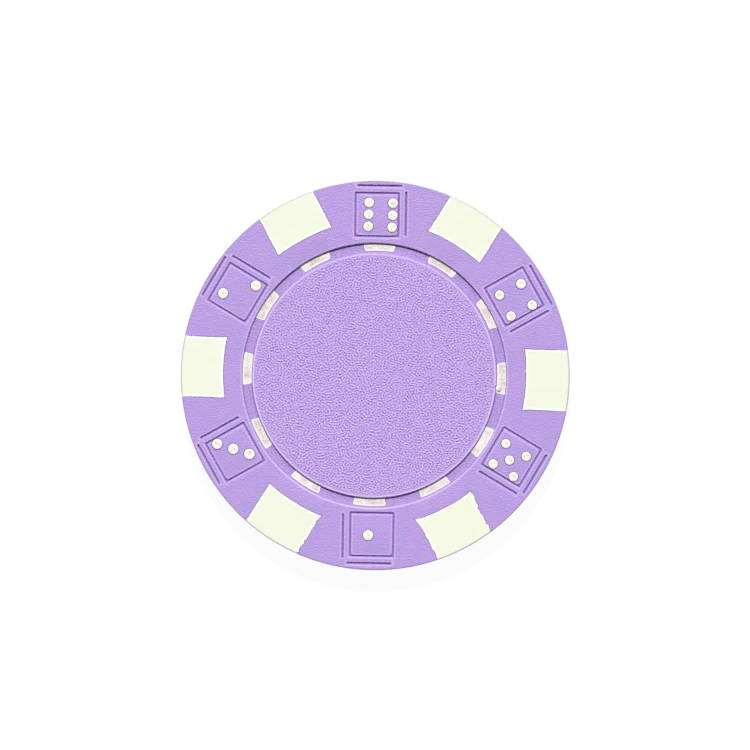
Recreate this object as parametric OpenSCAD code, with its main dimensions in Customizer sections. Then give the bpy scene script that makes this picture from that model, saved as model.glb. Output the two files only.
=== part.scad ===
// Poker chip with a dice pattern: a steel slug, a white first shot moulded round it and a lavender
// second shot moulded over both. Millimetres, +Z up, resting on z = 0, the six toward +Y.

/* [Chip] */
// Diameter over the rim
chip_d = 39; // [38.4:0.2:43]
// Thickness between the two rim faces
chip_t = 3.3; // [3.1:0.1:4]
// Rounding of the two rim edges
edge_r = 0.25; // [0.1:0.05:0.4]
// Width of the plastic band round the slug
band_w = 6.6; // [6.3:0.05:7]

/* [Groove and centre disc] */
// Distance of the groove's middle line in from the slug's edge
groove_inset = 0.15; // [0:0.05:0.3]
// Width of the groove floor
groove_floor_w = 0.7; // [0.5:0.05:0.9]
// Depth of the groove below the rim face
groove_depth = 0.3; // [0.15:0.05:0.4]
// Lean of each groove wall over its height
groove_flare = 0.2; // [0.05:0.05:0.3]
// Depth of the centre disc below the rim face, for a label
seat_drop = 0.05; // [0.02:0.01:0.12]

/* [Edge spots] */
// Width of one edge spot
spot_w = 6; // [4:0.1:7]
// Reach of a spot in from the rim
spot_reach = 4.25; // [3:0.05:4.6]

/* [Groove dashes] */
// Angle that one dash covers
dash_angle = 14.1; // [8:0.1:20]
// Width of each dash that runs on under the groove walls
dash_bury = 0.3; // [0.1:0.05:0.45]
// Height of a dash above the groove floor
dash_rise = 0.02; // [0.01:0.005:0.05]

/* [Dice] */
// Distance of a die's centre in from the rim
die_inset = 3.44; // [3.3:0.02:3.6]
// Size of a die's frame, between the middles of its lines
die_w = 4.32; // [4.1:0.02:4.5]
// Width of an incised line
line_w = 0.3; // [0.2:0.02:0.4]
// Depth of an incised line
line_depth = 0.12; // [0.06:0.01:0.2]
// Gap from the frame to the two lines that mark the die's sides
side_gap = 0.74; // [0.6:0.02:0.78]
// Length of the side line near the rim
rim_line_len = 4.4; // [4:0.1:4.6]
// Shift of the rim line, clockwise
rim_line_shift = 0.24; // [0:0.02:0.4]
// Length of the side line on the clockwise side
turn_line_len = 4.3; // [4:0.1:4.6]
// Shift of the clockwise line, outward
turn_line_shift = 0.14; // [0:0.02:0.4]
// Diameter of a pip
pip_d = 0.98; // [0.7:0.02:1.1]
// Spacing of the pips
pip_pitch = 1.2; // [1.12:0.01:1.24]

/* [First shot] */
// Turn of the first shot in the second shot's tool, clockwise
core_turn = 1.3; // [0:0.1:2]
// Shift of the first shot in that tool, toward the six
core_shift = 0.18; // [0:0.02:0.24]
// Width of the ring round the slug
ring_w = 1.3; // [1:0.05:1.5]
// Height of the ring
ring_t = 1.9; // [1.5:0.05:2.05]
// Thickness of the web that joins spots and pips
web_t = 0.9; // [0.6:0.05:1.2]
// Cover of the second shot outside the web
web_cover = 1.1; // [0.8:0.05:1.2]
// Diameter of the holes that lock the second shot through the web
lock_d = 1.6; // [1:0.05:1.8]
// Wall between a lock hole and the pips beside it
lock_wall = 0.4; // [0.2:0.05:0.6]

/* [Slug] */
// Thickness of the slug
slug_t = 2.1; // [1.8:0.05:2.2]
// Rounding that blanking leaves on the slug's two edges
slug_edge_r = 0.2; // [0.1:0.05:0.3]

/* [Hidden] */
$fn = 96;
// Overrun of every cut past the face that it opens
overrun = 0.2;
spot_count = 6;
die_count = 6;
dash_count = 12;
spot_step = 360 / spot_count;
die_step = 360 / die_count;
dash_step = 360 / dash_count;
chip_r = chip_d / 2;
die_r = chip_r - die_inset;
spot_in_r = chip_r - spot_reach;
slug_r = chip_r - band_w;
groove_in_r = slug_r - groove_inset - groove_floor_w / 2;
groove_out_r = slug_r - groove_inset + groove_floor_w / 2;
lock_x = pip_pitch + pip_d / 2 + lock_wall + lock_d / 2;
ring_r = slug_r + ring_w;
web_r = chip_r - web_cover;
skin_t = (chip_t - slug_t) / 2;
// Height inside the web at which the upper fingers and pips start
root_share = 0.25;
root_z = chip_t / 2 + root_share * web_t;
// Share of a line's width that the frame's rows run past its columns
corner_run_share = 0.7;
lavender = [0.74, 0.64, 0.89];
cream = [0.96, 0.97, 0.9];
steel = [0.6, 0.61, 0.63];
// Pips of each die, clockwise from the six, as steps of the pitch: clockwise and outward
DICE = [
    [[-1, 1], [1, 1], [-1, 0], [1, 0], [-1, -1], [1, -1]],
    [[-1, 1], [1, 1], [-1, -1], [1, -1]],
    [[-1, 1], [1, 1], [0, 0], [-1, -1], [1, -1]],
    [[0, 0]],
    [[1, 1], [0, 0], [-1, -1]],
    [[-1, 1], [1, -1]]
];

// The same design on the top face and, turned over about X, on the bottom face
module both_faces() {
    children();
    translate([0, 0, chip_t])
        rotate([180, 0, 0])
            children();
}

// Half section of a disc with rounded edges, in radius and height
module rounded_half(radius, height, edge) {
    square([radius - edge, height]);
    translate([0, edge])
        square([radius, height - 2 * edge]);
    for (z = [edge, height - edge])
        translate([radius - edge, z])
            circle(r = edge);
}

// Chip without its groove and label recesses
module plain_disc() {
    rotate_extrude()
        rounded_half(chip_r, chip_t, edge_r);
}

// Recess of the centre disc and groove of the top face, in radius and height
module recess_profile() {
    translate([0, chip_t - seat_drop])
        square([groove_in_r, seat_drop + overrun]);
    polygon([
        [groove_in_r - groove_flare, chip_t + overrun],
        [groove_in_r - groove_flare, chip_t],
        [groove_in_r, chip_t - groove_depth],
        [groove_out_r, chip_t - groove_depth],
        [groove_out_r + groove_flare, chip_t],
        [groove_out_r + groove_flare, chip_t + overrun]
    ]);
}

// Whole outer form of the finished chip
module envelope() {
    difference() {
        plain_disc();
        both_faces()
            rotate_extrude()
                recess_profile();
    }
}

// One full-height edge spot toward +X, past the rim and both faces
module spot_form() {
    difference() {
        translate([0, -spot_w / 2, -overrun])
            cube([chip_r + overrun, spot_w, chip_t + 2 * overrun]);
        translate([0, 0, -2 * overrun])
            cylinder(r = spot_in_r, h = chip_t + 4 * overrun);
    }
}

// One clip finger, centred on +X: its top is the dash in the groove, and it starts inside the ring
module finger_form() {
    rotate([0, 0, -dash_angle / 2])
        translate([0, 0, root_z])
            rotate_extrude(angle = dash_angle)
                translate([groove_in_r - dash_bury, 0])
                    square([groove_floor_w + 2 * dash_bury, chip_t - groove_depth + dash_rise - root_z]);
}

// Posts of the pips of the six top dice, past the face
module pip_forms() {
    for (k = [0 : die_count - 1])
        rotate([0, 0, -k * die_step])
            translate([0, die_r, root_z])
                for (p = DICE[k])
                    translate([p[0] * pip_pitch, p[1] * pip_pitch, 0])
                        cylinder(d = pip_d, h = chip_t - root_z + overrun);
}

// Solid hub that the slug is cut from, with the web that carries spots and pips
module hub_and_web() {
    translate([0, 0, (chip_t - ring_t) / 2])
        cylinder(r = ring_r, h = ring_t);
    difference() {
        translate([0, 0, (chip_t - web_t) / 2])
            cylinder(r = web_r, h = web_t);
        for (k = [0 : die_count - 1], side = [-1, 1])
            rotate([0, 0, k * die_step])
                translate([side * lock_x, die_r, (chip_t - web_t) / 2 - overrun])
                    cylinder(d = lock_d, h = web_t + 2 * overrun);
    }
}

// Everything that the first shot and the slug fill, with spots and pips running past the faces
module core_form() {
    translate([0, core_shift, 0])
        rotate([0, 0, -core_turn]) {
            hub_and_web();
            for (k = [0 : spot_count - 1])
                rotate([0, 0, k * spot_step])
                    spot_form();
            both_faces() {
                for (k = [0 : dash_count - 1])
                    rotate([0, 0, k * dash_step])
                        finger_form();
                pip_forms();
            }
        }
}

// One incised line along X on the top face
module incised_line(length) {
    translate([-length / 2, -line_w / 2, chip_t - line_depth])
        cube([length, line_w, line_depth + overrun]);
}

// Outline of one die, its frame and the two side lines, with +X clockwise and +Y outward
module die_lines() {
    for (side = [-1, 1]) {
        translate([0, side * die_w / 2, 0])
            incised_line(die_w + corner_run_share * line_w);
        translate([side * die_w / 2, 0, 0])
            rotate([0, 0, 90])
                incised_line(die_w);
    }
    translate([rim_line_shift, die_w / 2 + side_gap, 0])
        incised_line(rim_line_len);
    translate([die_w / 2 + side_gap, turn_line_shift, 0])
        rotate([0, 0, 90])
            incised_line(turn_line_len);
}

// The slug's own space
module slug_form() {
    translate([0, 0, skin_t])
        rotate_extrude()
            rounded_half(slug_r, slug_t, slug_edge_r);
}

module weight_slug() {
    color(steel)
        slug_form();
}

module white_core() {
    color(cream)
        difference() {
            intersection() {
                plain_disc();
                core_form();
            }
            slug_form();
        }
}

module lavender_body() {
    color(lavender)
        difference() {
            envelope();
            core_form();
            slug_form();
            both_faces()
                for (k = [0 : die_count - 1])
                    rotate([0, 0, -k * die_step])
                        translate([0, die_r, 0])
                            die_lines();
        }
}

weight_slug();
white_core();
lavender_body();
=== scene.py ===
# %% [markdown]
# # A two-colour poker chip with dice on its rim
# The real chip is three pieces. A steel slug gives the weight. A white first shot is moulded round it and carries
# the six edge spots, the dashes in the groove and all the dice pips. A lavender second shot is moulded over both and
# shows everywhere else. The imported CAD part is loaded first as a fixed frame, so every size below can be set against
# it, and its box gives the chip's radius and thickness.

# %% Load the frame
import math
from functools import partial

import bmesh
import bpy
from mathutils import Matrix, Vector, noise


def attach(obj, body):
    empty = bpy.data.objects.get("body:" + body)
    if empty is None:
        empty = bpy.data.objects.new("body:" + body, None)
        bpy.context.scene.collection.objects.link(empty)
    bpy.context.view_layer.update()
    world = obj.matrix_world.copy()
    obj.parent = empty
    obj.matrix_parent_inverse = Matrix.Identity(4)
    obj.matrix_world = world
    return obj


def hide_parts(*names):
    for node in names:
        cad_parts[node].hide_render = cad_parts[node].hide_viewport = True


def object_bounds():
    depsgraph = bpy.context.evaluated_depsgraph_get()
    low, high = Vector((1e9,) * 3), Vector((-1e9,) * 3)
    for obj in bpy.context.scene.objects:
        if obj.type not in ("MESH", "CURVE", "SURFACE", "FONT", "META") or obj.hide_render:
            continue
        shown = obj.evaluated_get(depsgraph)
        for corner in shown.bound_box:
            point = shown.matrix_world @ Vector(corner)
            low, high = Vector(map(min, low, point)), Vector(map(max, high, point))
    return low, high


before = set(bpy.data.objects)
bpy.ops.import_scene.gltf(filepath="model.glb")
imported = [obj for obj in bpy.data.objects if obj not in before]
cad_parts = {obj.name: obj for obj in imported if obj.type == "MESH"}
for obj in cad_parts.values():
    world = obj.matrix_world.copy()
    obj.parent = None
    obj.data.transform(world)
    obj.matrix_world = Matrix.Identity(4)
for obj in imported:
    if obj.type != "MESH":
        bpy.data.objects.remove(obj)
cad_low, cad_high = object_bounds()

MM = 0.001
CHIP_R = cad_high.x / MM
CHIP_T = cad_high.z / MM
MID_Z = CHIP_T / 2
print(f"chip {2 * CHIP_R:.2f} mm across and {CHIP_T:.2f} mm thick; nodes {sorted(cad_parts)}")

# %% [markdown]
# ## Turned forms
# Most of the chip is round, so most of it is a half section turned about the Z axis. The section is a chain of a few
# vertices in radius and height. A vertex bevel rounds its corners, as a moulding tool's edges are rounded, and spin
# turns it. A full spin meets itself, so it is merged, and the points that fall together on the axis are merged after
# it. A lathe could also be a Screw modifier, but the bmesh operator leaves a plain mesh that can be cut at once.
# The sections are in millimetres, and the finished mesh is scaled to metres once.

# %% A lathe for half sections
MERGE = 0.0004
TURN = 2 * math.pi


def section(corners, closed=False):
    """A chain of edges through (radius, height) corners, and its vertices."""
    form = bmesh.new()
    points = [form.verts.new((radius, 0.0, height)) for radius, height in corners]
    for start, end in zip(points, points[1:]):
        form.edges.new((start, end))
    if closed:
        form.edges.new((points[-1], points[0]))
    return form, points


def round_corners(form, points, radius, segments):
    """Rounds corners of a chain of edges."""
    bmesh.ops.bevel(
        form, geom=points, offset=radius, offset_type="OFFSET", affect="VERTICES",
        segments=segments, profile=0.5, material=-1,
    )


def tidy(form):
    """Merges what falls together and turns the faces outward."""
    bmesh.ops.remove_doubles(form, verts=form.verts[:], dist=MERGE)
    bmesh.ops.recalc_face_normals(form, faces=form.faces[:])


def turn(form, steps):
    """Spins the whole section once round the Z axis."""
    bmesh.ops.spin(
        form, geom=form.verts[:] + form.edges[:], cent=(0, 0, 0), axis=(0, 0, 1),
        angle=TURN, steps=steps, use_merge=True,
    )
    tidy(form)


def open_edges(form):
    """How many edges don't have two faces, which is none on a closed form."""
    return sum(not edge.is_manifold for edge in form.edges)


# %% [markdown]
# ## The lavender blank
# Without its dice and its white insets the second shot is one turned form: a flat rim with rounded edges, a groove
# with leaning walls, and a centre disc that lies a little lower so that a label would sit below the rim. Both faces
# are the same, so the upper half section is written once and repeated upside down. A fine line half way up the edge
# is where the two halves of the tool meet. The groove's outer lip is rounder than its other corners, so it catches the
# light. The insert that forms groove and disc sits a little off the rim's centre, so everything inside the rim is
# moved by that much.

# %% Turn the blank
GROOVE_IN_R, GROOVE_OUT_R = CHIP_R - 7.155, CHIP_R - 6.305
GROOVE_DEPTH, GROOVE_FLARE = 0.33, 0.09
SEAT_DROP = 0.05
EDGE_ROUND, SHOULDER_ROUND, LIP_ROUND, FOOT_ROUND = 0.10, 0.08, 0.12, 0.03
PARTING_W, PARTING_DEPTH = 0.05, 0.02
RIM_IN_R, GROOVE_SHIFT = 14.0, Vector((-0.07, 0.0, 0.0))
RIM_STEPS = 360

seat_z, floor_z = CHIP_T - SEAT_DROP, CHIP_T - GROOVE_DEPTH
seat_r = GROOVE_IN_R - GROOVE_FLARE * (seat_z - floor_z) / GROOVE_DEPTH
rim_edge = [
    (CHIP_R, CHIP_T), (CHIP_R, MID_Z + PARTING_W), (CHIP_R - PARTING_DEPTH, MID_Z),
]
upper_half = [
    (0.0, seat_z), (seat_r, seat_z), (GROOVE_IN_R, floor_z), (GROOVE_OUT_R, floor_z),
    (GROOVE_OUT_R + GROOVE_FLARE, CHIP_T), *rim_edge,
]


def both_halves(half):
    """The half section and its repeat upside down, which share the last corner."""
    return half + [(radius, CHIP_T - height) for radius, height in reversed(half[:-1])]


def turned_blank():
    form, points = section(both_halves(upper_half))
    last = len(points) - 1
    for corner, radius, segments in (
        (1, SHOULDER_ROUND, 4), (2, FOOT_ROUND, 3), (3, FOOT_ROUND, 3),
        (4, LIP_ROUND, 5), (5, EDGE_ROUND, 7),
    ):
        round_corners(form, [points[corner], points[last - corner]], radius, segments)
    turn(form, RIM_STEPS)
    inside = [point for point in form.verts if point.co.to_2d().length < RIM_IN_R]
    bmesh.ops.translate(form, vec=GROOVE_SHIFT, verts=inside)
    return form


lavender_form = turned_blank()
print(f"blank: {len(lavender_form.faces)} faces, {open_edges(lavender_form)} open edges")

# %% [markdown]
# ## Cutting and joining
# Dice lines, pip seats and spot pockets are cut from the blank as the tool's own inserts would leave them. Building
# the rim face by face round forty holes would be slow and fragile. An exact Boolean gives clean closed walls, and
# the cutters can be stamped from one template each. The Boolean's result is taken from the evaluated object, so no
# live modifier and no cutter stays in the scene.

# %% Boolean helpers
def as_template(form, name):
    """The form as a mesh that can be stamped. The form is used up."""
    mesh = bpy.data.meshes.new(name)
    form.to_mesh(mesh)
    form.free()
    return mesh


def as_object(form, name):
    made = bpy.data.objects.new(name, as_template(form, name))
    bpy.context.scene.collection.objects.link(made)
    return made


def discard(made):
    mesh = made.data
    bpy.data.objects.remove(made)
    bpy.data.meshes.remove(mesh)


def combine(blank, tool, how):
    """Cuts tool from blank, joins it on or keeps what they share. The tool is used up."""
    boolean = blank.modifiers.new("combine", "BOOLEAN")
    boolean.operation, boolean.solver, boolean.object = how, "EXACT", tool
    graph = bpy.context.evaluated_depsgraph_get()
    result = bpy.data.meshes.new_from_object(blank.evaluated_get(graph))
    blank.modifiers.clear()
    before = blank.data
    blank.data = result
    bpy.data.meshes.remove(before)
    discard(tool)


def stamp(target, template, place):
    """Adds a copy of a template mesh to a bmesh, moved to its place."""
    known = len(target.verts)
    target.from_mesh(template)
    target.verts.ensure_lookup_table()
    bmesh.ops.transform(target, matrix=place, verts=target.verts[known:])


def turned(degrees):
    """A turn about the chip's axis, counter-clockwise from above."""
    return Matrix.Rotation(math.radians(degrees), 4, "Z")


def moved(x, y, z):
    return Matrix.Translation((x, y, z))


TURNED_OVER = moved(0, 0, CHIP_T) @ Matrix.Rotation(math.pi, 4, "X")
FACES = (Matrix.Identity(4), TURNED_OVER)

# %% [markdown]
# ## The incised dice outlines
# Each die is a square frame with one line beyond it toward the rim and one on its clockwise side, so that it reads
# as a cube. The lines are V grooves a quarter of a millimetre wide with soft lips. A frame is the groove's section
# spun in four steps: that gives a square ring with mitred corners, which are then bevelled a little. A straight line
# is the same section extruded, with its ends sloped.

# %% Templates for the lines
DIE_R, DIE_W = CHIP_R - 3.483, 4.31
DIE_COUNT = 6
DIE_STEP = 360 / DIE_COUNT
SIDE_GAP = 0.74
RIM_LINE_L, RIM_LINE_SHIFT = 4.40, 0.24
TURN_LINE_L, TURN_LINE_SHIFT = 4.30, 0.14
LINE_SHIFT = moved(-0.04, 0.08, 0)
FRAME_CORNER = 0.13
LINE_SECTION = (
    (-0.27, 0.025), (-0.18, 0.0), (-0.13, -0.016), (-0.10, -0.05), (-0.035, -0.18),
    (0.035, -0.18), (0.10, -0.05), (0.13, -0.016), (0.18, 0.0), (0.27, 0.025),
)
LINE_END_SLOPE = 0.6
SQUARE = 4
DIAGONAL = math.sqrt(2)
SAME_WAY = 0.01


def frame_cutter():
    form, _ = section([((DIE_W / 2 + out) * DIAGONAL, up) for out, up in LINE_SECTION], closed=True)
    turn(form, SQUARE)
    corner_edges = [
        edge for edge in form.edges
        if (edge.verts[0].co.to_2d().normalized() - edge.verts[1].co.to_2d().normalized()).length < SAME_WAY
    ]
    bmesh.ops.bevel(
        form, geom=corner_edges, offset=FRAME_CORNER, offset_type="OFFSET", affect="EDGES",
        segments=3, profile=0.5, material=-1,
    )
    bmesh.ops.rotate(form, verts=form.verts[:], cent=(0, 0, 0), matrix=turned(45))
    tidy(form)
    print(f"die frame: {len(corner_edges)} mitre edges, {open_edges(form)} open edges")
    return as_template(form, "die_frame")


def line_cutter(length, name):
    form, _ = section(LINE_SECTION, closed=True)
    bmesh.ops.contextual_create(form, geom=form.edges[:])
    bmesh.ops.rotate(form, verts=form.verts[:], cent=(0, 0, 0), matrix=turned(90))
    bmesh.ops.translate(form, verts=form.verts[:], vec=(-length / 2, 0, 0))
    far_end = bmesh.ops.extrude_face_region(form, geom=form.faces[:])["geom"]
    far_points = [part for part in far_end if isinstance(part, bmesh.types.BMVert)]
    bmesh.ops.translate(form, verts=far_points, vec=(length, 0, 0))
    for point in form.verts:
        point.co.x += math.copysign(min(0.0, point.co.z) * LINE_END_SLOPE, point.co.x)
    tidy(form)
    print(f"{name}: {open_edges(form)} open edges")
    return as_template(form, name)


die_frame = frame_cutter()
rim_line = line_cutter(RIM_LINE_L, "rim_line")
turn_line = line_cutter(TURN_LINE_L, "turn_line")

# %% Cut the dice outlines
line_tool = bmesh.new()
for face in FACES:
    for number in range(DIE_COUNT):
        die = LINE_SHIFT @ face @ turned(-DIE_STEP * number) @ moved(0, DIE_R, CHIP_T)
        stamp(line_tool, die_frame, die)
        stamp(line_tool, rim_line, die @ moved(RIM_LINE_SHIFT, DIE_W / 2 + SIDE_GAP, 0))
        stamp(line_tool, turn_line, die @ moved(DIE_W / 2 + SIDE_GAP, TURN_LINE_SHIFT, 0) @ turned(90))

lavender = as_object(lavender_form, "lavender_body_skin")
combine(lavender, as_object(line_tool, "line_tool"), "DIFFERENCE")
print(f"lavender with its lines: {len(lavender.data.polygons)} faces")

# %% [markdown]
# ## The white insets
# Spots, dashes and pips are all one first shot, so they sit in the lavender with a hair-thin seam. Each form is made
# twice by the same function: once at its own size for the white piece, and once a seam larger as the cutter for the
# lavender. That keeps the two pieces from ever sharing a face. The first shot lies in the second tool 1.3 degrees
# and a fifth of a millimetre out, so its forms are turned and moved together. The pips, which the second shot pushed
# about, come out less far. On half of the dice they have spread a little and are a tenth larger.

# %% Pips
CORE_TURN = -1.3
CORE_SHIFT, PIP_SHIFT = moved(-0.03, 0.21, 0), moved(-0.035, 0.07, 0)
PIP_R, PIP_PITCH = 0.49, 1.20
PIP_STEPS = 24
PIP_MARK = "pip_mark"
EDGE_MARK, MARK_CORE, MARK_REACH = 0.3, 0.75, 1.1
SEAM, PIP_SEAM = 0.05, 0.042
ROOT_Z = MID_Z + 0.225
PIP_DOME, PIP_DISH, PIP_ROUND = 0.02, 0.015, 0.06
# A pip's crown between its edge and its dished middle, as shares of radius and dome
PIP_CROWN = ((0.6, 1.0), (0.35, 0.6))
PIP_DRIFT, PIP_SCATTER, PIP_SEED = 0.02, 0.04, 7
SEAT_RIM, SEAT_LEAN = 0.03, 0.01
# Pips of each die, clockwise from the six, as steps of the pitch: clockwise and outward
DICE = (
    ((-1, 1), (1, 1), (-1, 0), (1, 0), (-1, -1), (1, -1)),
    ((-1, 1), (1, 1), (-1, -1), (1, -1)),
    ((-1, 1), (1, 1), (0, 0), (-1, -1), (1, -1)),
    ((0, 0.07),),
    ((1, 1), (0, 0), (-1, -1)),
    ((-1, 1), (1, -1)),
)
PIP_GROWTH = (1.02, 1.02, 0.99, 1.10, 1.10, 1.10)


def pip_post():
    form, points = section([
        (0.0, ROOT_Z - CHIP_T), (PIP_R, ROOT_Z - CHIP_T), (PIP_R, 0.0),
        *((PIP_R * out, PIP_DOME * up) for out, up in PIP_CROWN), (0.0, -PIP_DISH),
    ])
    round_corners(form, [points[2]], PIP_ROUND, 3)
    turn(form, PIP_STEPS)
    return as_template(form, "pip_post")


def pip_seat():
    hole_r = PIP_R + PIP_SEAM
    form, _ = section([
        (0.0, ROOT_Z - CHIP_T), (hole_r, ROOT_Z - CHIP_T), (hole_r, -SEAT_RIM), (hole_r + SEAT_LEAN, SEAT_RIM),
        (0.0, SEAT_RIM),
    ])
    turn(form, PIP_STEPS)
    return as_template(form, "pip_seat")


def pip_places():
    """Where each pip stands, with the small scatter of a worn tool in size and place."""
    for side, face in enumerate(FACES):
        for number, pips in enumerate(DICE):
            for along, out in pips:
                seed = Vector((along * 1.7 + number * 3.1, out * 2.3, side * 5.9))
                drift = noise.noise_vector(seed) * PIP_DRIFT
                grown = PIP_GROWTH[number] + PIP_SCATTER * noise.noise(seed + Vector((0.5, 0.5, 0.5)))
                yield (
                    PIP_SHIFT @ turned(CORE_TURN) @ face @ turned(-DIE_STEP * number)
                    @ moved(along * PIP_PITCH + drift.x, DIE_R + out * PIP_PITCH + drift.y, CHIP_T)
                    @ Matrix.Diagonal((grown, grown, 1, 1))
                )


def mark_pips(piece):
    """Writes on each vertex how near it is to a pip's middle: 0 off the pips, EDGE_MARK at an edge, 1 in the middle."""
    centres = [place.to_translation() for place in pip_places()]
    marks = []
    for point in piece.data.vertices:
        near = min((point.co - centre).length for centre in centres)
        rise = max(0.0, 1 - near / (MARK_CORE * PIP_R))
        marks.append(EDGE_MARK + (1 - EDGE_MARK) * rise if near < MARK_REACH * PIP_R else 0.0)
    piece.data.attributes.new(PIP_MARK, "FLOAT", "POINT").data.foreach_set("value", marks)


# Without a seed the noise vector takes its offset from the clock, and each run would scatter the pips in another way
noise.seed_set(PIP_SEED)
post, seat = pip_post(), pip_seat()
pip_posts, pip_seats = bmesh.new(), bmesh.new()
for place in pip_places():
    stamp(pip_posts, post, place)
    stamp(pip_seats, seat, place)
print(f"pips: {open_edges(pip_posts)} open edges on the posts, {open_edges(pip_seats)} on the seats")

# %% [markdown]
# The dashes in the groove are the tops of clip fingers that reach over the slug's edge. A finger is an L section
# spun through its fourteen degrees, closed at both ends, with rounded corners.

# %% Dashes
DASH_COUNT, DASH_ANGLE = 12, 14.1
DASH_STEP = 360 / DASH_COUNT
DASH_CELLS = 10
DASH_IN_R, DASH_OUT_R = GROOVE_IN_R - 0.04, GROOVE_OUT_R + 0.09
DASH_RISE, DASH_CORNER = 0.025, 0.14
DASH_TAPER, TAPER_FROM = 0.06, 0.7
DASH_SEAM, DASH_SEAT_RISE = 0.02, 0.06
SLUG_R, SLUG_T = CHIP_R - 6.6, 2.1
SLUG_TOP = MID_Z + SLUG_T / 2
LEG_ROOT = 2.3
SKIN_GAP, LEG_GAP = 0.02, 0.03


def dash_finger(grow, top, name):
    half_turn = math.radians(DASH_ANGLE / 2) + grow / GROOVE_OUT_R
    leg_r = SLUG_R + LEG_GAP - grow
    form, _ = section([
        (DASH_IN_R - grow, SLUG_TOP + SKIN_GAP), (leg_r, SLUG_TOP + SKIN_GAP), (leg_r, LEG_ROOT),
        (DASH_OUT_R + grow, LEG_ROOT), (DASH_OUT_R + grow, top), (DASH_IN_R - grow, top),
    ], closed=True)
    bmesh.ops.rotate(form, verts=form.verts[:], cent=(0, 0, 0), matrix=turned(-math.degrees(half_turn)))
    bmesh.ops.spin(
        form, geom=form.verts[:] + form.edges[:], cent=(0, 0, 0), axis=(0, 0, 1),
        angle=2 * half_turn, steps=DASH_CELLS, use_merge=False,
    )
    bmesh.ops.holes_fill(form, edges=[edge for edge in form.edges if edge.is_boundary], sides=0)
    tidy(form)
    for point in form.verts:
        out = (point.co.to_2d().length - GROOVE_IN_R) / (GROOVE_OUT_R - GROOVE_IN_R)
        point.co.y *= 1 + DASH_TAPER * (out - TAPER_FROM)
    upright = [
        edge for edge in form.edges
        if (edge.verts[0].co - edge.verts[1].co).to_2d().length < MERGE
        and abs(abs(math.atan2(edge.verts[0].co.y, edge.verts[0].co.x)) - half_turn) < half_turn / DASH_CELLS
        and max(vert.co.z for vert in edge.verts) > top - MERGE
    ]
    bmesh.ops.bevel(
        form, geom=upright, offset=DASH_CORNER, offset_type="OFFSET", affect="EDGES",
        segments=4, profile=0.5, material=-1,
    )
    tidy(form)
    print(f"{name}: {len(upright)} corners rounded, {open_edges(form)} open edges")
    return as_template(form, name)


finger = dash_finger(0.0, floor_z + DASH_RISE, "dash_finger")
finger_seat = dash_finger(DASH_SEAM, floor_z + DASH_SEAT_RISE, "dash_seat")
fingers, finger_seats = bmesh.new(), bmesh.new()
for face in FACES:
    for number in range(DASH_COUNT):
        place = CORE_SHIFT @ turned(CORE_TURN) @ face @ turned(DASH_STEP * number)
        stamp(fingers, finger, place)
        stamp(finger_seats, finger_seat, place)

# %% [markdown]
# The dash near three o'clock carries a small bead of flash, where white leaked past the tool. It is a flattened
# sphere that is joined to the dash, and a slightly larger one beside it cuts the gap between bead and groove wall.

# %% Flash bead
BEAD_AT = (12.425, -1.105)
BEAD_R, BEAD_RISE = 0.32, 0.15
BEAD_GAP = (-0.11, 0.11, 0.03)


def bead(x, y, radius, rise, name):
    form = bmesh.new()
    bmesh.ops.create_uvsphere(form, u_segments=24, v_segments=12, radius=radius)
    bmesh.ops.scale(form, vec=(1, 1, rise / radius), verts=form.verts[:])
    bmesh.ops.translate(form, vec=(x, y, floor_z + DASH_RISE), verts=form.verts[:])
    print(f"{name}: {open_edges(form)} open edges")
    return as_object(form, name)


flash_bead = bead(*BEAD_AT, BEAD_R, BEAD_RISE, "flash_bead")
gap_x, gap_y, gap_growth = BEAD_GAP
flash_gap = bead(BEAD_AT[0] + gap_x, BEAD_AT[1] + gap_y, BEAD_R + gap_growth, 3 * BEAD_RISE, "flash_gap")

# %% [markdown]
# The edge spots run through the whole thickness. Their outer face is the chip's own rim, so a spot is a block that
# runs past the rim, trimmed later by the plain disc. Its inner edge is a gentle arc. Real spots have slightly ragged
# sides, where the second shot pushed against the first, and a corner or two that has spread, so the grid that
# becomes the block is pulled about a little before it is extruded.

# %% Spots
SPOT_COUNT, SPOT_W = 6, 6.045
SPOT_STEP = 360 / SPOT_COUNT
SPOT_IN_R, SPOT_ARC_R = CHIP_R - 4.30, 18.8
SPOT_CELLS_ALONG, SPOT_CELLS_ACROSS = 44, 30
SPOT_OVERRUN = 0.4
SPREAD, SPREAD_IN, SPREAD_ASIDE = 0.40, 0.7, 0.8
RAGGED_FROM, INNER_RAGGED = 0.8, 0.03
SLOW_WAVES, QUICK_WAVES = 1.1, 4.1
# For each spot, counter-clockwise from +X: how ragged its clockwise and counter-clockwise sides are, then how far
# the inner corner of each side has spread, in millimetres
SPOT_FLAWS = (
    (0.04, 0.05, 0.05, 0.00),
    (0.05, 0.04, 0.00, 0.05),
    (0.03, 0.04, 0.00, 0.00),
    (0.05, 0.06, 0.07, 0.00),
    (0.05, 0.21, 0.00, 0.05),
    (0.08, 0.16, 0.20, 0.06),
)


def ragged(number, side, along):
    """How far a side of a spot stands off its straight line, at a distance from the chip's centre."""
    slow = noise.noise(Vector((along * SLOW_WAVES, number * 4.7, side * 2.9)))
    quick = noise.noise(Vector((along * QUICK_WAVES, number * 4.7 + 9.0, side * 2.9)))
    return slow * 0.5 + quick


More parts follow.
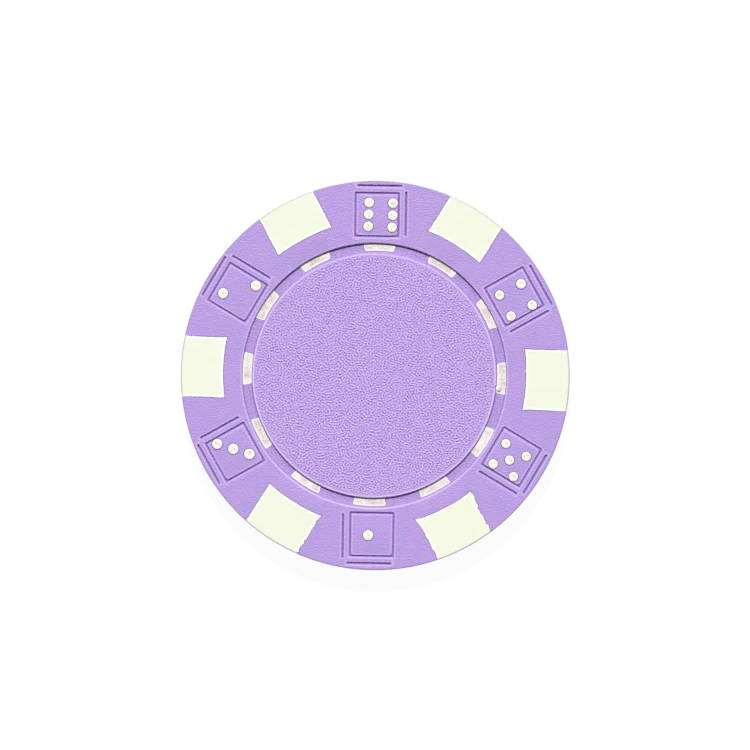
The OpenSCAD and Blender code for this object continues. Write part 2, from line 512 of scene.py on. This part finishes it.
def spot_block(number, grow):
    flaws = SPOT_FLAWS[number]
    form = bmesh.new()
    bmesh.ops.create_grid(form, x_segments=SPOT_CELLS_ALONG, y_segments=SPOT_CELLS_ACROSS, size=1.0)
    inner_r, half_w = SPOT_IN_R - grow, SPOT_W / 2 + grow
    for point in form.verts:
        share, across = (point.co.x + 1) / 2, point.co.y
        side = 1 if across > 0 else -1
        y = across * half_w
        start = inner_r - y ** 2 / (2 * SPOT_ARC_R)
        x = start + (CHIP_R + SPOT_OVERRUN - start) * share
        edge_share = max(0.0, (abs(across) - RAGGED_FROM) / (1 - RAGGED_FROM))
        y += side * edge_share * flaws[0 if side < 0 else 1] * ragged(number, side, x)
        corner = math.hypot(x - inner_r + half_w ** 2 / (2 * SPOT_ARC_R), half_w - abs(y))
        spread = flaws[2 if side < 0 else 3] * math.exp(-((corner / SPREAD) ** 2))
        x += INNER_RAGGED * (1 - share) ** 8 * ragged(number, 0, y) - SPREAD_IN * spread
        y += side * SPREAD_ASIDE * spread
        point.co = (x, y, -SPOT_OVERRUN)
    raised = bmesh.ops.extrude_face_region(form, geom=form.faces[:])["geom"]
    upper = [part for part in raised if isinstance(part, bmesh.types.BMVert)]
    bmesh.ops.translate(form, verts=upper, vec=(0, 0, CHIP_T + 2 * SPOT_OVERRUN))
    tidy(form)
    return as_template(form, f"spot_{number}")


spots, spot_seats = bmesh.new(), bmesh.new()
for number in range(SPOT_COUNT):
    place = CORE_SHIFT @ turned(CORE_TURN + SPOT_STEP * number)
    stamp(spots, spot_block(number, 0.0), place)
    stamp(spot_seats, spot_block(number, SEAM), place)
print(f"spots: {open_edges(spots)} open edges; seats: {open_edges(spot_seats)}")

# %% [markdown]
# ## The hidden hub and web
# Under the rim face a flat web joins spots and pips to a ring round the slug, and twelve holes let the second shot
# lock through it. Nothing of this shows, but both shots are closed pieces with that space between them, as on the
# CAD nodes that they stand for.

# %% Turn the hub and drill the lock holes
RING_R, RING_T = SLUG_R + 1.3, 1.9
WEB_R, WEB_T = CHIP_R - 1.1, 0.9
LOCK_R, LOCK_HALF_L, LOCK_WALL = 0.8, 1.0, 0.4
LOCK_X = PIP_PITCH + PIP_R + LOCK_WALL + LOCK_R
SLUG_EDGE = 0.2
HUB_STEPS = 180
HIDDEN_GAP = 0.01


def hub_form(grow):
    form, _ = section(both_halves([
        (0.0, MID_Z + RING_T / 2 + grow), (RING_R + grow, MID_Z + RING_T / 2 + grow),
        (RING_R + grow, MID_Z + WEB_T / 2 + grow), (WEB_R + grow, MID_Z + WEB_T / 2 + grow),
        (WEB_R + grow, MID_Z),
    ]))
    turn(form, HUB_STEPS)
    bmesh.ops.transform(form, matrix=CORE_SHIFT, verts=form.verts[:])
    return form


def lock_pins(grow):
    pin_r = LOCK_R - grow
    form, _ = section([(0.0, -LOCK_HALF_L), (pin_r, -LOCK_HALF_L), (pin_r, LOCK_HALF_L), (0.0, LOCK_HALF_L)])
    turn(form, PIP_STEPS)
    pin = as_template(form, "lock_pin")
    pins = bmesh.new()
    for number in range(DIE_COUNT):
        for side in (-1, 1):
            die = CORE_SHIFT @ turned(CORE_TURN + DIE_STEP * number)
            stamp(pins, pin, die @ moved(side * LOCK_X, DIE_R, MID_Z))
    return as_object(pins, "lock_pins")


def slug_space(grow):
    form, points = section(both_halves([
        (0.0, MID_Z + SLUG_T / 2 + grow), (SLUG_R + grow, MID_Z + SLUG_T / 2 + grow), (SLUG_R + grow, MID_Z),
    ]))
    round_corners(form, [points[1], points[-2]], SLUG_EDGE, 4)
    turn(form, HUB_STEPS)
    return as_object(form, "slug_space")


hub = as_object(hub_form(0.0), "white_core_skin")
combine(hub, lock_pins(0.0), "DIFFERENCE")
hollow = as_object(hub_form(HIDDEN_GAP), "hub_hollow")
combine(hollow, lock_pins(HIDDEN_GAP), "DIFFERENCE")
combine(hollow, slug_space(HIDDEN_GAP), "UNION")
print(f"hub: {len(hub.data.polygons)} faces; its space in the lavender: {len(hollow.data.polygons)} faces")

# %% [markdown]
# ## Bringing the two shots together
# Now each shot takes its final form. The lavender loses a seat for every inset and the space of the hub. The white is
# one piece, so the spots, fingers and pips are joined to the hub, after the plain disc has trimmed the spots to the
# chip's own edge. Each kind of inset is one Boolean, so a fault would be easy to find.

# %% Cut every seat and the hub's space from the lavender
for seats in (spot_seats, pip_seats, finger_seats):
    combine(lavender, as_object(seats, "seats"), "DIFFERENCE")
combine(lavender, hollow, "DIFFERENCE")
combine(lavender, flash_gap, "DIFFERENCE")
print(f"lavender second shot: {len(lavender.data.polygons)} faces")

# %% Join the white first shot
def plain_disc():
    form, points = section(both_halves([(0.0, CHIP_T), *rim_edge]))
    round_corners(form, [points[1], points[-2]], EDGE_ROUND, 7)
    turn(form, RIM_STEPS)
    return as_object(form, "plain_disc")


white_spots = as_object(spots, "white_spots")
combine(white_spots, plain_disc(), "INTERSECT")
for insets in (white_spots, as_object(fingers, "fingers"), as_object(pip_posts, "pips"), flash_bead):
    combine(hub, insets, "UNION")
combine(hub, slug_space(0.0), "DIFFERENCE")
mark_pips(hub)
print(f"white first shot: {len(hub.data.polygons)} faces")

# %% [markdown]
# ## Finishes
# Both shots are the same kind of plastic: satin, with slow clouds in the colour where the melt cooled unevenly, and
# a fine unevenness in the surface. Those effects are node groups, so each plastic sets its own values. All patterns
# read Object coordinates in millimetres, because the pieces have their place in their meshes.

# %% Node helpers
def new_node(tree, kind, values=None, **settings):
    """A node with its settings, its plain input values, and links where a value is another node's socket."""
    node = tree.nodes.new(kind)
    for name, setting in settings.items():
        setattr(node, name, setting)
    for name, value in (values or {}).items():
        if isinstance(value, bpy.types.NodeSocket):
            tree.links.new(value, node.inputs[name])
        else:
            node.inputs[name].default_value = value
    return node


def math_node(tree, operation, first, second=0.0, third=0.0):
    return new_node(tree, "ShaderNodeMath", {0: first, 1: second, 2: third}, operation=operation).outputs[0]


def fade(tree, value, start, end, low=0.0, high=1.0):
    """A smooth step from low to high as value goes from start to end."""
    return new_node(
        tree, "ShaderNodeMapRange",
        {"Value": value, "From Min": start, "From Max": end, "To Min": low, "To Max": high},
        interpolation_type="SMOOTHSTEP",
    ).outputs["Result"]


def blend_colour(tree, factor, first, second):
    """The first colour, with a share of the second."""
    node = new_node(tree, "ShaderNodeMix", data_type="RGBA")
    for name, value in (("Factor_Float", factor), ("A_Color", first), ("B_Color", second)):
        socket = next(s for s in node.inputs if s.identifier == name)
        if isinstance(value, bpy.types.NodeSocket):
            tree.links.new(value, socket)
        else:
            socket.default_value = value
    return next(s for s in node.outputs if s.identifier == "Result_Color")


def new_group(name, inputs, outputs):
    """An empty node group with named sockets, given as (name, kind, default)."""
    group = bpy.data.node_groups.new(name, "ShaderNodeTree")
    for label, kind, default in inputs:
        socket = group.interface.new_socket(label, in_out="INPUT", socket_type=kind)
        socket.default_value = default
    for label, kind in outputs:
        group.interface.new_socket(label, in_out="OUTPUT", socket_type=kind)
    return group, group.nodes.new("NodeGroupInput").outputs, group.nodes.new("NodeGroupOutput").inputs


FLOAT, COLOUR, VECTOR = "NodeSocketFloat", "NodeSocketColor", "NodeSocketVector"

# %% [markdown]
# The first three groups are textures: a cloudy tone between two colours, a fine relief, and scattered specks. A noise
# or a Voronoi pattern in each material would do the same, but then the same nodes would be wired three times.

# %% Group: the cloudy tone of moulded plastic
def moulded_tone():
    group, given, result = new_group(
        "moulded_tone",
        [("Place", VECTOR, (0, 0, 0)), ("Light", COLOUR, (1, 1, 1, 1)), ("Deep", COLOUR, (0, 0, 0, 1)),
         ("Cloud", FLOAT, 0.3), ("Fleck", FLOAT, 2.0)],
        [("Colour", COLOUR), ("Gloss", FLOAT)],
    )
    cloud = new_node(group, "ShaderNodeTexNoise",
                     {"Vector": given["Place"], "Scale": given["Cloud"], "Detail": 3.0, "Roughness": 0.55})
    fleck = new_node(group, "ShaderNodeTexNoise",
                     {"Vector": given["Place"], "Scale": given["Fleck"], "Detail": 2.0, "Roughness": 0.6})
    both = math_node(group, "MULTIPLY_ADD", fleck.outputs[0], 0.45,
                     math_node(group, "MULTIPLY", cloud.outputs[0], 0.55))
    share = fade(group, both, 0.36, 0.64)
    group.links.new(blend_colour(group, share, given["Deep"], given["Light"]), result["Colour"])
    group.links.new(share, result["Gloss"])
    return group


# %% Group: fine relief, from an even satin to a leather grain
def fine_relief():
    group, given, result = new_group(
        "fine_relief",
        [("Place", VECTOR, (0, 0, 0)), ("Size", FLOAT, 3.0), ("Detail", FLOAT, 1.0), ("Wriggle", FLOAT, 1.0)],
        [("Height", FLOAT)],
    )
    worm = new_node(group, "ShaderNodeTexNoise",
                    {"Vector": given["Place"], "Scale": given["Size"], "Detail": given["Detail"], "Roughness": 0.5,
                     "Distortion": given["Wriggle"]})
    group.links.new(worm.outputs[0], result["Height"])
    return group


# %% Group: scattered specks
def specks():
    group, given, result = new_group(
        "specks",
        [("Place", VECTOR, (0, 0, 0)), ("Spacing", FLOAT, 1.0), ("Reach", FLOAT, 0.1)],
        [("Mask", FLOAT)],
    )
    cells = new_node(group, "ShaderNodeTexVoronoi",
                     {"Vector": given["Place"], "Scale": given["Spacing"], "Randomness": 1.0})
    group.links.new(fade(group, cells.outputs["Distance"], given["Reach"], 0.0), result["Mask"])
    return group


# %% [markdown]
# The painted highlights and painted shade follow the forms. A painted map could hold them, but a few sums give them
# exactly: the six dice are folded into one by the angle round the axis, and the distance to the nearest line of that
# die is a mask for the painted highlight on its lips and the painted shade in its bottom. The same fold gives the
# distance inward from the outline of a dash or of an edge spot, for the painted highlight along their borders.

# %% Group: distance to the nearest line of a die
def line_distance():
    group, given, result = new_group(
        "line_distance", [("Place", VECTOR, (0, 0, 0))], [("Distance", FLOAT)])
    calc = partial(math_node, group)

    def off_line(across, middle, along, shift, length):
        """Distance to a straight line's middle, past its ends too."""
        beside = calc("ABSOLUTE", calc("SUBTRACT", across, middle))
        past = calc("SUBTRACT", calc("ABSOLUTE", calc("SUBTRACT", along, shift)), length / 2)
        return calc("MAXIMUM", beside, past)

    x, y, z = new_node(group, "ShaderNodeSeparateXYZ", {0: given["Place"]}).outputs
    x = calc("SUBTRACT", x, LINE_SHIFT.translation.x)
    y = calc("SUBTRACT", y, LINE_SHIFT.translation.y)
    y = calc("MULTIPLY", y, calc("SIGN", calc("SUBTRACT", z, MID_Z)))
    angle = calc("ARCTAN2", x, y)
    step = TURN / DIE_COUNT
    angle = calc("SUBTRACT", angle, calc("MULTIPLY", calc("ROUND", calc("DIVIDE", angle, step)), step))
    radius = calc("SQRT", calc("ADD", calc("MULTIPLY", x, x), calc("MULTIPLY", y, y)))
    along = calc("MULTIPLY", radius, calc("SINE", angle))
    out = calc("SUBTRACT", calc("MULTIPLY", radius, calc("COSINE", angle)), DIE_R)
    square = calc("MAXIMUM", calc("ABSOLUTE", along), calc("ABSOLUTE", out))
    nearest = calc("ABSOLUTE", calc("SUBTRACT", square, DIE_W / 2))
    for distance in (
        off_line(out, DIE_W / 2 + SIDE_GAP, along, RIM_LINE_SHIFT, RIM_LINE_L),
        off_line(along, DIE_W / 2 + SIDE_GAP, out, TURN_LINE_SHIFT, TURN_LINE_L),
    ):
        nearest = calc("MINIMUM", nearest, distance)
    group.links.new(nearest, result["Distance"])
    return group


# %% Group: distance inward from the outline of a dash and of an edge spot
def inset_distance():
    group, given, result = new_group(
        "inset_distance", [("Place", VECTOR, (0, 0, 0))], [("Dash", FLOAT), ("Spot", FLOAT)])
    calc = partial(math_node, group)

    def off_middle(count):
        """Angle from the middle of the nearest of count equal sectors."""
        step = TURN / count
        nearest = calc("MULTIPLY", calc("ROUND", calc("DIVIDE", angle, step)), step)
        return calc("ABSOLUTE", calc("SUBTRACT", angle, nearest))

    x, y, _ = new_node(group, "ShaderNodeSeparateXYZ", {0: given["Place"]}).outputs
    x = calc("SUBTRACT", x, CORE_SHIFT.translation.x)
    y = calc("SUBTRACT", y, CORE_SHIFT.translation.y)
    radius = calc("SQRT", calc("ADD", calc("MULTIPLY", x, x), calc("MULTIPLY", y, y)))
    angle = calc("SUBTRACT", calc("ARCTAN2", y, x), math.radians(CORE_TURN))
    dash = calc("MULTIPLY", radius, calc("SUBTRACT", math.radians(DASH_ANGLE / 2), off_middle(DASH_COUNT)))
    for distance in (calc("SUBTRACT", radius, DASH_IN_R), calc("SUBTRACT", DASH_OUT_R, radius)):
        dash = calc("MINIMUM", dash, distance)
    across = calc("MULTIPLY", radius, calc("SINE", off_middle(SPOT_COUNT)))
    along = calc("MULTIPLY", radius, calc("COSINE", off_middle(SPOT_COUNT)))
    arc = calc("SUBTRACT", SPOT_IN_R, calc("MULTIPLY", calc("MULTIPLY", across, across), 0.5 / SPOT_ARC_R))
    spot = calc("MINIMUM", calc("SUBTRACT", SPOT_W / 2, across), calc("SUBTRACT", along, arc))
    group.links.new(dash, result["Dash"])
    group.links.new(spot, result["Spot"])
    return group


TONE, RELIEF, SPECKS, LINES, INSETS = moulded_tone(), fine_relief(), specks(), line_distance(), inset_distance()
print("node groups:", ", ".join(group.name for group in (TONE, RELIEF, SPECKS, LINES, INSETS)))

# %% [markdown]
# Each finish starts from a Principled shader and the place on the piece in millimetres. Colours are written as they
# look in a picture and made linear, because a shader works with linear light.

# %% What every finish starts with
def srgb(red, green, blue):
    """A colour as written in a picture, 0 to 255, as the linear colour that a shader takes."""
    def linear(value):
        value /= 255
        return value / 12.92 if value <= 0.04045 else ((value + 0.055) / 1.055) ** 2.4
    return (linear(red), linear(green), linear(blue), 1.0)


def new_finish(name):
    """A material with its Principled shader, and the place on the piece in millimetres."""
    finish = bpy.data.materials.new(name)
    finish.use_nodes = True
    tree = finish.node_tree
    shader = tree.nodes["Principled BSDF"]
    coordinates = tree.nodes.new("ShaderNodeTexCoord")
    place = new_node(tree, "ShaderNodeVectorMath", {0: coordinates.outputs["Object"], "Scale": 1 / MM},
                     operation="SCALE").outputs[0]
    return finish, tree, shader, place


def place_group(tree, group, values):
    return new_node(tree, "ShaderNodeGroup", values, node_tree=group).outputs


def around_axis(tree, place, middle=Vector((0, 0, 0))):
    """Distance from an upright axis, and height above or below the chip's middle plane."""
    place = new_node(tree, "ShaderNodeVectorMath", {0: place, 1: middle}, operation="SUBTRACT").outputs[0]
    parts = new_node(tree, "ShaderNodeSeparateXYZ", {0: place}).outputs
    flat = new_node(tree, "ShaderNodeCombineXYZ", {0: parts[0], 1: parts[1]}).outputs[0]
    radius = new_node(tree, "ShaderNodeVectorMath", {0: flat}, operation="LENGTH").outputs["Value"]
    height = math_node(tree, "ABSOLUTE", math_node(tree, "SUBTRACT", parts[2], MID_Z))
    return radius, height


def edge_shade_band(tree, radius, height):
    """1 on the rounded edges of the rim, where a thin grey line of painted shade goes."""
    outer = fade(tree, radius, CHIP_R - 1.5 * EDGE_ROUND, CHIP_R - 0.9 * EDGE_ROUND)
    return math_node(tree, "MULTIPLY", outer, fade(tree, height, MID_Z - 2 * EDGE_ROUND, MID_Z - EDGE_ROUND / 2))


def relief(tree, shader, height, depth):
    """Bump of a real depth in millimetres on the shader's normal."""
    bump = new_node(tree, "ShaderNodeBump", {"Height": height, "Distance": depth * MM, "Strength": 1.0})
    tree.links.new(bump.outputs[0], shader.inputs["Normal"])


# %% [markdown]
# The lavender has two textures. The rim is satin. The centre disc has the fine leather-like grain that is etched in
# the tool where a label may go. A Gabor pattern gives it, because all its ridges have about one width, and a little
# noise breaks them up. Its crests are paler and its creases darker, partly its own tone and partly painted highlight
# and painted shade. The shoulders of the groove and the lips of the lines carry a painted highlight. The floor of the
# groove, the feet of its walls and the bottoms of the lines are darkened with painted shade, and the very edge of the
# rim has a thin line of painted shade. Each of those places follows from the distance to the axis, the height or the
# distance to the nearest line, so the colour is a stack of masks, each with a share and a tint.

# %% Lavender plastic
def lavender_plastic():
    finish, tree, shader, place = new_finish("lavender_plastic")
    rim_r, height = around_axis(tree, place)
    radius, _ = around_axis(tree, place, GROOVE_SHIFT)
    both = partial(math_node, tree, "MULTIPLY")

    def band(value, middle, half_width):
        """1 where value is at the middle, fading to 0 at the half width."""
        return fade(tree, math_node(tree, "ABSOLUTE", math_node(tree, "SUBTRACT", value, middle)), half_width, 0.02)

    tone = place_group(tree, TONE, {
        "Place": place, "Light": srgb(193, 161, 225), "Deep": srgb(184, 160, 229), "Cloud": 0.6, "Fleck": 2.6})
    on_face = fade(tree, height, MID_Z - 0.30, MID_Z - 0.10)
    disc = both(fade(tree, radius, GROOVE_IN_R - 0.28, GROOVE_IN_R - 0.58), on_face)
    inside = fade(tree, radius, GROOVE_OUT_R + 0.27, GROOVE_OUT_R + 0.07)
    sunk = both(fade(tree, height, MID_Z - 0.16, MID_Z - 0.28), inside)
    satin = place_group(tree, RELIEF, {"Place": place, "Size": 7.5, "Detail": 0.0, "Wriggle": 0.0})["Height"]
    worms = new_node(tree, "ShaderNodeTexGabor", {
        "Vector": place, "Scale": 1.9, "Frequency": 1.9, "Anisotropy": 0.0}).outputs["Value"]
    grain = math_node(tree, "MULTIPLY_ADD", math_node(tree, "SUBTRACT", satin, 0.5), 0.25, worms)
    nick = place_group(tree, SPECKS, {"Place": place, "Spacing": 0.45, "Reach": 0.06})["Mask"]
    line = place_group(tree, LINES, {"Place": place})["Distance"]
    outside = fade(tree, radius, GROOVE_OUT_R + 0.07, GROOVE_OUT_R + 0.22)
    on_rim = both(outside, on_face)
    shoulder_highlight, lip_highlight = band(radius, GROOVE_IN_R - 0.22, 0.11), band(radius, GROOVE_OUT_R + 0.15, 0.16)
    foot_shade = math_node(tree, "MAXIMUM", band(radius, GROOVE_IN_R, 0.15), band(radius, GROOVE_OUT_R, 0.15))
    colour = tone["Colour"]
    for mask, share, tint in (
        (disc, 0.50, srgb(208, 178, 250)),
        # the grain's creases darker and its crests paler: partly the grain's own tone, partly painted shade in the
        # creases and painted highlight on the crests
        (both(fade(tree, grain, 0.54, 0.34), disc), 0.48, srgb(150, 112, 198)),
        (both(fade(tree, grain, 0.50, 0.70), disc), 0.85, srgb(230, 202, 255)),
        # painted shade: the floor of the groove darker, mottled by the satin
        (both(sunk, fade(tree, satin, 0.36, 0.64, 1.0, 0.0)), 1.0, srgb(172, 146, 200)),
        (nick, 0.5, srgb(140, 104, 176)),
        # painted highlight on the groove's inner shoulder and on its outer lip
        (both(shoulder_highlight, on_face), 0.75, srgb(234, 219, 254)),
        (both(lip_highlight, on_face), 0.50, srgb(226, 212, 254)),
        # painted highlight along the lips of the die lines
        (both(both(fade(tree, line, 0.32, 0.20), fade(tree, line, 0.11, 0.17)), on_rim), 0.36, srgb(234, 218, 254)),
        # painted shade: the bottoms of the die lines darker
        (both(fade(tree, line, 0.10, 0.03), outside), 0.62, srgb(110, 48, 156)),
        # painted shade: the feet of the groove walls darker
        (both(foot_shade, fade(tree, height, MID_Z - 0.10, MID_Z - 0.25)), 0.40, srgb(170, 116, 210)),
        # painted shade: a thin grey line on the rim's rounded edge
        (edge_shade_band(tree, rim_r, height), 0.24, srgb(130, 116, 122)),
    ):
        colour = blend_colour(tree, both(mask, share), colour, tint)
    tree.links.new(colour, shader.inputs["Base Color"])
    gloss = fade(tree, tone["Gloss"], 0.0, 1.0, 0.36, 0.30)
    tree.links.new(math_node(tree, "MULTIPLY_ADD", disc, 0.12, gloss), shader.inputs["Roughness"])
    shader.inputs["Specular IOR Level"].default_value = 0.12
    whole = math_node(tree, "MULTIPLY_ADD", math_node(tree, "SUBTRACT", grain, 0.5), disc, both(satin, 0.36))
    relief(tree, shader, whole, 0.13)
    return finish


# %% [markdown]
# The white is slightly creamy. Spots are clean, because the second tool pressed on them, and carry a painted
# highlight along their borders. The dashes are warmer, with grit inside their borders and a painted highlight along
# them. The pips have a bright edge and a warm, pitted middle. The very edge of the rim has a thin line of painted
# shade. Dashes are known by their distance to the axis, and pips by the mark that their vertices carry.

# %% Cream plastic
def cream_plastic():
    finish, tree, shader, place = new_finish("cream_plastic")
    radius, height = around_axis(tree, place)
    both = partial(math_node, tree, "MULTIPLY")

    tone = place_group(tree, TONE, {
        "Place": place, "Light": srgb(245, 247, 229), "Deep": srgb(242, 244, 225), "Cloud": 0.25, "Fleck": 1.2})
    warm = place_group(tree, TONE, {
        "Place": place, "Light": srgb(248, 244, 235), "Deep": srgb(214, 204, 194), "Cloud": 1.2, "Fleck": 7.0})
    pip = new_node(tree, "ShaderNodeAttribute", attribute_name=PIP_MARK).outputs["Fac"]
    on_pip, at_centre = fade(tree, pip, 0.05, 0.25), fade(tree, pip, 0.40, 0.80)
    off_edge = fade(tree, pip, 0.33, 0.45)
    dust = place_group(tree, SPECKS, {"Place": place, "Spacing": 0.9, "Reach": 0.09})["Mask"]
    pit = place_group(tree, SPECKS, {"Place": place, "Spacing": 4.2, "Reach": 0.44})["Mask"]
    grit = place_group(tree, SPECKS, {"Place": place, "Spacing": 4.6, "Reach": 0.42})["Mask"]
    inward = place_group(tree, INSETS, {"Place": place})
    on_dash = fade(tree, radius, GROOVE_OUT_R + 0.57, GROOVE_OUT_R + 0.37)
    colour = tone["Colour"]
    for mask, tint in (
        # painted highlight along the borders of the edge spots
        (fade(tree, inward["Spot"], 0.27, 0.13), srgb(254, 254, 252)),
        (on_dash, warm["Colour"]),
        (both(both(on_dash, grit), fade(tree, warm["Gloss"], 0.85, 0.45, 0.0, 0.85)), srgb(126, 110, 102)),
        # painted highlight along the borders of the dashes
        (both(on_dash, fade(tree, inward["Dash"], 0.18, 0.08)), srgb(253, 251, 245)),
        (on_pip, srgb(250, 248, 242)),
        (both(at_centre, 0.9), srgb(243, 237, 216)),
        (both(both(off_edge, pit), 0.85), srgb(112, 90, 82)),
        (both(dust, 0.35), srgb(190, 185, 170)),
        # painted shade: a thin grey line on the rim's rounded edge
        (both(edge_shade_band(tree, radius, height), 0.52), srgb(140, 138, 132)),
    ):
        colour = blend_colour(tree, mask, colour, tint)
    tree.links.new(colour, shader.inputs["Base Color"])
    tree.links.new(fade(tree, tone["Gloss"], 0.0, 1.0, 0.48, 0.40), shader.inputs["Roughness"])
    relief(tree, shader, place_group(
        tree, RELIEF, {"Place": place, "Size": 1.6, "Detail": 2.0, "Wriggle": 0.3})["Height"], 0.012)
    return finish


# %% [markdown]
# The slug stays as the CAD node, which has the right shape. It is blanked and tumbled steel, so its tone is cloudy
# and its relief fine.

# %% Slug steel
def slug_steel():
    finish, tree, shader, place = new_finish("slug_steel")
    tone = place_group(tree, TONE, {
        "Place": place, "Light": srgb(190, 192, 196), "Deep": srgb(160, 161, 165), "Cloud": 0.4, "Fleck": 2.5})
    tree.links.new(tone["Colour"], shader.inputs["Base Color"])
    tree.links.new(fade(tree, tone["Gloss"], 0.0, 1.0, 0.42, 0.30), shader.inputs["Roughness"])
    shader.inputs["Metallic"].default_value = 1.0
    relief(tree, shader, place_group(
        tree, RELIEF, {"Place": place, "Size": 3.0, "Detail": 2.0, "Wriggle": 0.0})["Height"], 0.01)
    return finish


# %% [markdown]
# ## Into the frame
# The two skins take the place of their CAD nodes: they are scaled to metres, get their finish, ride on the one body
# and hide the node that they replace. Edges sharper than 38 degrees stay crisp, and weighted normals keep the flat
# faces flat beside their rounded edges.

# %% Finish the pieces
CRISP = math.radians(38)


def finish_piece(piece, node, finish):
    """Scales a piece to metres, shades it and gives it its place in the frame."""
    mesh = piece.data
    mesh.transform(Matrix.Scale(MM, 4))
    mesh.materials.clear()
    mesh.materials.append(finish)
    mesh.shade_smooth()
    mesh.set_sharp_from_angle(angle=CRISP)
    even = piece.modifiers.new("even_normals", "WEIGHTED_NORMAL")
    even.keep_sharp = True
    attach(piece, "root")
    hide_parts(node)
    print(f"{piece.name}: {len(mesh.polygons)} faces, {len(mesh.vertices)} vertices")


finish_piece(lavender, "lavender_body", lavender_plastic())
finish_piece(hub, "white_core", cream_plastic())
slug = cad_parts["weight_slug"]
slug.data.materials.clear()
slug.data.materials.append(slug_steel())

# %% [markdown]
# ## Light, floor and camera
# The photograph looks down on a white ground, three degrees off the vertical, so that a sliver of the edge shows on
# the right. The light comes from twelve o'clock: the groove's outer wall is dark at the top and its inner wall at the
# bottom. One soft sun 54 degrees high gives that, and a dim even world fills the rest, so that a colour renders about
# as it is written. The floor lies a hair below the chip, which stands on the domes of its lower pips.

# %% Light
SUN_HEIGHT, SUN_SOFTNESS = math.radians(54), math.radians(3)
WORLD_LEVEL = 0.02

sun = bpy.data.lights.new("key", "SUN")
sun.energy = math.pi * (1 - WORLD_LEVEL) / math.sin(SUN_HEIGHT)
sun.angle = SUN_SOFTNESS
lamp = bpy.data.objects.new("key", sun)
lamp.rotation_euler = (SUN_HEIGHT - math.pi / 2, 0, 0)
bpy.context.scene.collection.objects.link(lamp)
print(f"sun of {sun.energy:.2f} W/m2, {math.degrees(SUN_HEIGHT):.0f} degrees high")


def seen_directly(tree):
    """1 for rays from the camera, a mirror or glass, 0 for light that bounces."""
    path = tree.nodes.new("ShaderNodeLightPath").outputs
    direct = math_node(tree, "MAXIMUM", path["Is Camera Ray"], path["Is Glossy Ray"])
    return math_node(tree, "MAXIMUM", direct, path["Is Transmission Ray"])


world = bpy.data.worlds.new("studio")
bpy.context.scene.world = world
world.use_nodes = True
background = world.node_tree.nodes["Background"]
background.inputs["Color"].default_value = (1, 1, 1, 1)
world.node_tree.links.new(
    fade(world.node_tree, seen_directly(world.node_tree), 0.0, 1.0, WORLD_LEVEL, 1.0), background.inputs["Strength"])

# %% Floor
FLOOR_HALF = 1.5
FLOOR_WHITE = 0.96
FLOOR_DROP = 1.5 * PIP_DOME * MM

ground = bmesh.new()
bmesh.ops.create_grid(ground, x_segments=1, y_segments=1, size=FLOOR_HALF)
bmesh.ops.translate(ground, vec=(0, 0, -FLOOR_DROP), verts=ground.verts[:])
floor = as_object(ground, "floor")
paper = bpy.data.materials.new("paper")
paper.use_nodes = True
sheet = paper.node_tree
sheet.nodes.remove(sheet.nodes["Principled BSDF"])
matt = new_node(sheet, "ShaderNodeBsdfDiffuse", {"Color": (1, 1, 1, 1)})
glow = new_node(sheet, "ShaderNodeEmission", {"Color": (1, 1, 1, 1), "Strength": 1.0})
lit = new_node(sheet, "ShaderNodeMixShader", {
    0: math_node(sheet, "MULTIPLY", seen_directly(sheet), FLOOR_WHITE), 1: matt.outputs[0], 2: glow.outputs[0]})
sheet.links.new(lit.outputs[0], sheet.nodes["Material Output"].inputs["Surface"])
floor.data.materials.append(paper)
print(f"floor {2 * FLOOR_HALF:.1f} m wide, {FLOOR_DROP / MM:.3f} mm below the chip")

# %% Camera
LENS, SENSOR = 200.0, 36.0
FRAME_WIDTH = 75.10
VIEW_TURN, VIEW_LEAN = math.radians(0.95), math.radians(3.0)
VIEW_AIM = Vector((0.03, 0.049, CHIP_T))

camera_data = bpy.data.cameras.new("overhead")
camera_data.lens, camera_data.sensor_width = LENS, SENSOR
camera = bpy.data.objects.new("overhead", camera_data)
stand = Matrix.Rotation(VIEW_LEAN, 4, "Y") @ Matrix.Rotation(VIEW_TURN, 4, "Z")
camera.location = (VIEW_AIM + stand @ Vector((0, 0, FRAME_WIDTH * LENS / SENSOR))) * MM
camera.rotation_euler = stand.to_euler()
camera_data.clip_start, camera_data.clip_end = 0.01, 10.0
bpy.context.scene.collection.objects.link(camera)
bpy.context.scene.camera = camera
bpy.context.scene.view_settings.view_transform = "Standard"
print(f"camera {camera.location.length:.3f} m from the chip, {math.degrees(VIEW_LEAN):.1f} degrees off the vertical")
